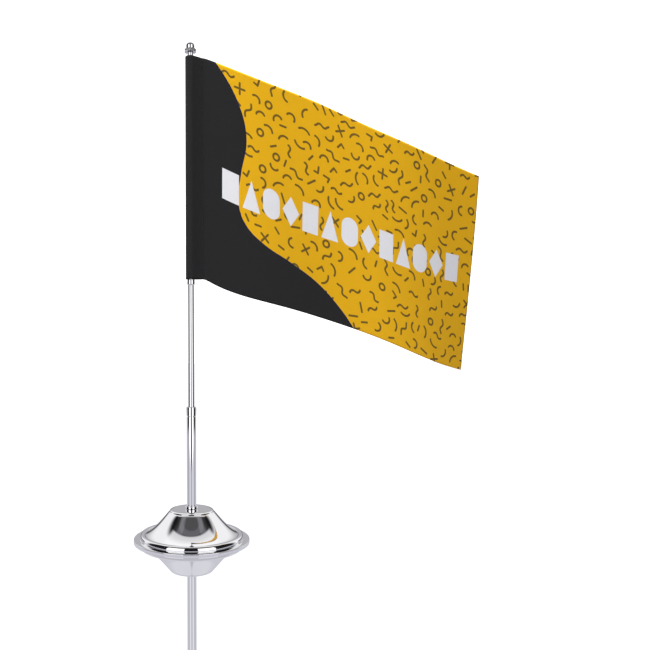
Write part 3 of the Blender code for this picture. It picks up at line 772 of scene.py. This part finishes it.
def flag_material():
    """Printed polyester: the dyed picture, a plain weave, sheen and slight unevenness."""
    made, tree, shader, place = new_material("look_flag")
    uv = tree.nodes.new("ShaderNodeUVMap")
    uv.uv_map = "flat_cloth"
    run, up, _ = split(tree, uv.outputs["UV"])
    run = run * UV_SPAN - UV_BEFORE_SEAM
    down = FLAG_HEIGHT / MM - up * (FLAG_HEIGHT / MM)
    edge = 0.14
    ink = 1.0 - ramp(figure_distance(tree), STROKE - edge, STROKE + edge)
    colour = blend_colour(ink, YELLOW, INK)
    colour_row = 1.0 - ramp(row_of_shapes(run, down), -edge, edge)
    border = border_place(tree, down)
    lean = border_place(tree, down + 1.0) - border
    off_border = (run - border) / calculate("SQRT", lean * lean + 1.0)
    colour = blend_colour(1.0 - ramp(off_border, -edge, edge), colour, BLACK)
    line = 1.0 - ramp(calculate("ABSOLUTE", off_border), 0.35, 0.65)
    colour = blend_colour(line, colour, NAVY)
    colour = blend_colour(colour_row, colour, WHITE)
    warp = calculate("SINE", run * (math.tau / 0.42))
    weft = calculate("SINE", down * (math.tau / 0.42))
    weave = warp * weft
    slub = noise(tree, place, 420.0, 4.0)
    shade = weave * 0.02 + slub * 0.06 + 0.96
    hue = tree.nodes.new("ShaderNodeHueSaturation")
    tree.links.new(colour.socket, hue.inputs["Color"])
    tree.links.new(shade.socket, hue.inputs["Value"])
    tree.links.new(hue.outputs["Color"], shader.inputs["Base Color"])
    tree.links.new((0.78 + slub * 0.14).socket, shader.inputs["Roughness"])
    shader.inputs["Specular IOR Level"].default_value = 0.25
    shader.inputs["Sheen Weight"].default_value = 0.06
    shader.inputs["Sheen Roughness"].default_value = 0.4
    crumple = bump(tree, noise(tree, place, 38.0, 3.0), 0.0012, 0.22)
    tree.links.new(bump(tree, weave + slub, 0.00004, 0.35, crumple), shader.inputs["Normal"])
    return made


def make_flag():
    """The cloth as one dense sheet with the print's places stored on its faces."""
    points, flat = cloth_points()
    tall, wide = points.shape[:2]
    index = np.arange(tall * wide).reshape(tall, wide)
    faces = np.stack([index[:-1, :-1], index[1:, :-1], index[1:, 1:], index[:-1, 1:]], axis=2).reshape(-1, 4)
    mesh = bpy.data.meshes.new("flag_sheet")
    mesh.from_pydata(points.reshape(-1, 3).tolist(), [], faces.tolist())
    flat_corners = flat.reshape(-1, 2)[faces]
    print_attributes(mesh, flat_corners)
    layer = mesh.uv_layers.new(name="flat_cloth")
    across = (flat_corners[..., 0] + UV_BEFORE_SEAM) / UV_SPAN
    spread = np.stack([across, 1.0 - flat_corners[..., 1] * MM / FLAG_HEIGHT], axis=2)
    layer.data.foreach_set("uv", spread.astype(np.float32).ravel())
    mesh.shade_smooth()
    mesh.materials.append(flag_material())
    cloth = bpy.data.objects.new("flag_sheet", mesh)
    bpy.context.collection.objects.link(cloth)
    thick = cloth.modifiers.new("thickness", "SOLIDIFY")
    thick.thickness = CLOTH_THICKNESS
    thick.offset = 0.0
    return cloth


def thread_material():
    """Black polyester sewing thread with its twist."""
    made, tree, shader, place = new_material("look_thread")
    x, y, z = split(tree, place)
    twist = calculate("SINE", z * (math.tau / 0.0005) + x * 4000.0)
    fuzz = noise(tree, place, 5000.0, 3.0)
    tone = blend_colour(twist * 0.3 + fuzz * 0.6, (0.010, 0.010, 0.011), (0.045, 0.045, 0.048))
    tree.links.new(tone.socket, shader.inputs["Base Color"])
    tree.links.new((0.5 + fuzz * 0.3).socket, shader.inputs["Roughness"])
    tree.links.new(bump(tree, twist + fuzz, 0.00006, 0.6), shader.inputs["Normal"])
    return made


def make_stitches():
    """One row of lock stitches through both layers at the seam, front and back."""
    bm = bmesh.new()
    stitch = 2.6 * MM
    gap = 0.5 * MM
    radius = 0.17 * MM
    margin = 2.2 * MM
    count = int((FLAG_HEIGHT - 2 * margin) / (stitch + gap))
    for side in (-1.0, 1.0):
        for k in range(count):
            top = margin + k * (stitch + gap)
            rings = []
            for t in np.linspace(0.0, 1.0, 7):
                down = (top + t * stitch) / FLAG_HEIGHT
                x = SEAM_X - 0.2 * MM
                arch = math.sin(math.pi * t)
                stand_off = (0.30 * MM + CLOTH_THICKNESS / 2) * (0.35 + 0.65 * arch)
                y = float(billow(np.array(0.0), down)) + side * stand_off
                if side > 0:
                    y += 0.75 * MM
                z = FLAG_TOP - down * FLAG_HEIGHT
                thin = radius * (0.45 + 0.55 * math.sin(math.pi * (0.08 + 0.84 * t)))
                ring = []
                for a in range(8):
                    angle = math.tau * a / 8
                    ring.append(bm.verts.new((x + thin * math.cos(angle), y + thin * math.sin(angle), z)))
                rings.append(ring)
            for low, high in zip(rings, rings[1:]):
                for a in range(8):
                    bm.faces.new((low[a], low[(a + 1) % 8], high[(a + 1) % 8], high[a]))
            bm.faces.new(rings[0][::-1])
            bm.faces.new(rings[-1])
    bmesh.ops.recalc_face_normals(bm, faces=bm.faces)
    mesh = bpy.data.meshes.new("seam_stitches")
    bm.to_mesh(mesh)
    bm.free()
    mesh.shade_smooth()
    mesh.materials.append(thread_material())
    made = bpy.data.objects.new("seam_stitches", mesh)
    bpy.context.collection.objects.link(made)
    return made


# ---------------------------------------------------------------- studio

def make_camera():
    data = bpy.data.cameras.new("camera")
    data.lens = CAMERA_LENS
    data.sensor_width = 36.0
    data.shift_x, data.shift_y = CAMERA_SHIFT
    data.clip_start = 0.01
    data.clip_end = 50.0
    camera = bpy.data.objects.new("camera", data)
    camera.location = CAMERA_PLACE
    camera.rotation_euler = (math.pi / 2, CAMERA_ROLL, -CAMERA_TURN)
    bpy.context.collection.objects.link(camera)
    bpy.context.scene.camera = camera


def camera_frame(x, y):
    """Plan coordinates to the camera's right and towards the camera."""
    sine = math.sin(CAMERA_TURN)
    cosine = math.cos(CAMERA_TURN)
    return x * cosine - y * sine, (x * sine + y * cosine) * -1.0


def make_floor():
    """A glossy white floor that glows evenly, so that it melts into the white background.

    To metal and cloth it is a lit table top of limited size; past its edge they see the studio.
    """
    mesh = bpy.data.meshes.new("floor")
    corners = [(x * FLOOR_REACH, y * FLOOR_REACH, 0.0) for x, y in ((-1, -1), (1, -1), (1, 1), (-1, 1))]
    mesh.from_pydata(corners, [], [(0, 1, 2, 3)])
    made = bpy.data.materials.new("look_floor")
    made.use_nodes = True
    tree = made.node_tree
    tree.nodes.clear()
    glow = tree.nodes.new("ShaderNodeEmission")
    glow.inputs["Color"].default_value = (*FLOOR_COLOUR, 1.0)
    glow.inputs["Strength"].default_value = FLOOR_GLOW
    mirror = tree.nodes.new("ShaderNodeBsdfGlossy")
    mirror.inputs["Color"].default_value = (FLOOR_MIRROR, FLOOR_MIRROR, FLOOR_MIRROR, 1.0)
    mirror.inputs["Roughness"].default_value = 0.0
    both = tree.nodes.new("ShaderNodeAddShader")
    clear = tree.nodes.new("ShaderNodeBsdfTransparent")
    mixed = tree.nodes.new("ShaderNodeMixShader")
    output = tree.nodes.new("ShaderNodeOutputMaterial")
    x, y, z = split(tree, tree.nodes.new("ShaderNodeTexCoord").outputs["Object"])
    seen = Wire(tree, tree.nodes.new("ShaderNodeLightPath").outputs["Is Camera Ray"])
    right, front = camera_frame(x, y)
    inside = 1.0 - ramp(front, TABLE_FRONT - 0.06, TABLE_FRONT + 0.06)
    inside = inside * (1.0 - ramp(calculate("ABSOLUTE", right), TABLE_SIDE - 0.08, TABLE_SIDE + 0.08))
    inside = inside * ramp(front, -TABLE_BACK - 0.1, -TABLE_BACK + 0.1)
    outside = (1.0 - inside) * (1.0 - seen)
    tree.links.new(outside.socket, mixed.inputs[0])
    tree.links.new(glow.outputs[0], both.inputs[0])
    tree.links.new(mirror.outputs[0], both.inputs[1])
    tree.links.new(both.outputs[0], mixed.inputs[1])
    tree.links.new(clear.outputs[0], mixed.inputs[2])
    tree.links.new(mixed.outputs[0], output.inputs["Surface"])
    mesh.materials.append(made)
    floor = bpy.data.objects.new("floor", mesh)
    bpy.context.collection.objects.link(floor)


def make_world():
    """White to the eye and in the floor; to metal and cloth, a dark studio with soft boxes."""
    world = bpy.data.worlds.new("studio")
    world.use_nodes = True
    world.cycles.sampling_method = "NONE"
    bpy.context.scene.world = world
    tree = world.node_tree
    background = tree.nodes["Background"]
    coordinates = tree.nodes.new("ShaderNodeTexCoord")
    x, y, z = split(tree, coordinates.outputs["Generated"])
    right, front = camera_frame(x, y)
    degrees = 180.0 / math.pi
    azimuth = calculate("ABSOLUTE", calculate("ARCTAN2", right, front) * degrees)
    height = calculate("ARCSINE", z) * degrees
    lift = calculate("ARCTAN2", z, front) * degrees
    # walls: dark in front and near the ground, light at the sides, grey behind
    wall = ramp(azimuth, 98.0, 116.0) * WALL_AT_SIDES + WALL_IN_FRONT
    wall = wall - ramp(azimuth, 140.0, 165.0) * WALL_BEHIND_DROP
    ground = ramp(azimuth, 118.0, 126.0) * (1.0 - ramp(height, 4.0, 12.0))
    wall = wall + (WALL_NEAR_GROUND - wall) * ground
    # ceiling: white, a little duller round one dark opening over the front
    ceiling = ramp(height, 48.0, 56.0)
    up = calculate("MAXIMUM", z, 0.05)
    ahead = front / up
    across = calculate("ABSOLUTE", right) / up
    spread = across * across
    edge = 0.18 - spread * (0.25 + spread * 0.17)
    opening = ramp(ahead - edge, -0.03, 0.03) * ramp(lift, 55.0, 57.0) * (1.0 - ramp(across, 1.25, 1.4))
    shade = OPENING_SHADE + between(across, 0.34, 0.58, 0.08) * 0.08 - ramp(across, 0.60, 0.70) * 0.045
    shade = shade + between(ahead, 0.20, 0.33, 0.04) * 0.06
    panel = CEILING_AT_OPENING + ramp(edge - ahead, 0.0, 0.5) * CEILING_GAIN
    top = panel + (shade - panel) * opening
    light = wall + (top - wall) * ceiling
    # two soft boxes beside the camera
    box = between(azimuth, 15.0, 54.0, 3.0) * between(height, -18.0, 36.0, 4.0)
    light = light + box * SOFT_BOX
    path = tree.nodes.new("ShaderNodeLightPath")
    camera_ray = Wire(tree, path.outputs["Is Camera Ray"])
    singular = Wire(tree, path.outputs["Is Singular Ray"])
    first = calculate("LESS_THAN", Wire(tree, path.outputs["Ray Depth"]), 2.5)
    in_floor = singular * first
    light = light * (1.0 - Wire(tree, path.outputs["Is Diffuse Ray"]) * CLOTH_SHARE_LOST)
    light = light + (FLOOR_SEES - light) * in_floor
    light = light + (BACKGROUND_WHITE - light) * camera_ray
    tint = blend_colour(ramp(light, 0.2, 0.9), (0.95, 0.95, 1.0), (1.0, 1.0, 1.0))
    tree.links.new(tint.socket, background.inputs["Color"])
    tree.links.new(light.socket, background.inputs["Strength"])


def add_light(name, place, target, size, power):
    data = bpy.data.lights.new(name, "AREA")
    data.shape = "SQUARE"
    data.size = size
    data.energy = power
    light = bpy.data.objects.new(name, data)
    light.location = place
    light.rotation_euler = (Vector(target) - Vector(place)).to_track_quat("-Z", "Y").to_euler()
    light.visible_glossy = False
    light.visible_camera = False
    bpy.context.collection.objects.link(light)


def make_lights():
    """A large key light high on the left, and a small low fill for the flag's lower corner."""
    add_light("key", (-0.34, -0.40, 1.80), (0.12, 0.0, 0.32), 0.9, 66.0)
    add_light("fill", (0.22, -0.28, 0.05), (0.24, 0.0, 0.18), 0.2, 0.22)


# ---------------------------------------------------------------- putting it together

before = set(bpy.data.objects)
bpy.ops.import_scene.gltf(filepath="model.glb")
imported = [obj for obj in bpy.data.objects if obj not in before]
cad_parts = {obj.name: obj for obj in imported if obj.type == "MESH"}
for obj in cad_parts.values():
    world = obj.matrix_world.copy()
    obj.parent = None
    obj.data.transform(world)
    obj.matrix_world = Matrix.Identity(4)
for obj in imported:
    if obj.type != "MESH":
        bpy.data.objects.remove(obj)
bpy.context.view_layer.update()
make_camera()
make_floor()
make_world()
make_lights()
finish_cad_nodes(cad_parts)
make_turned_pieces()
flag = make_flag()
stitches = make_stitches()
for piece in (flag, stitches):
    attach(piece, "flag_cloth")
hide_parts("flag")
bpy.context.scene.view_settings.view_transform = "Standard"
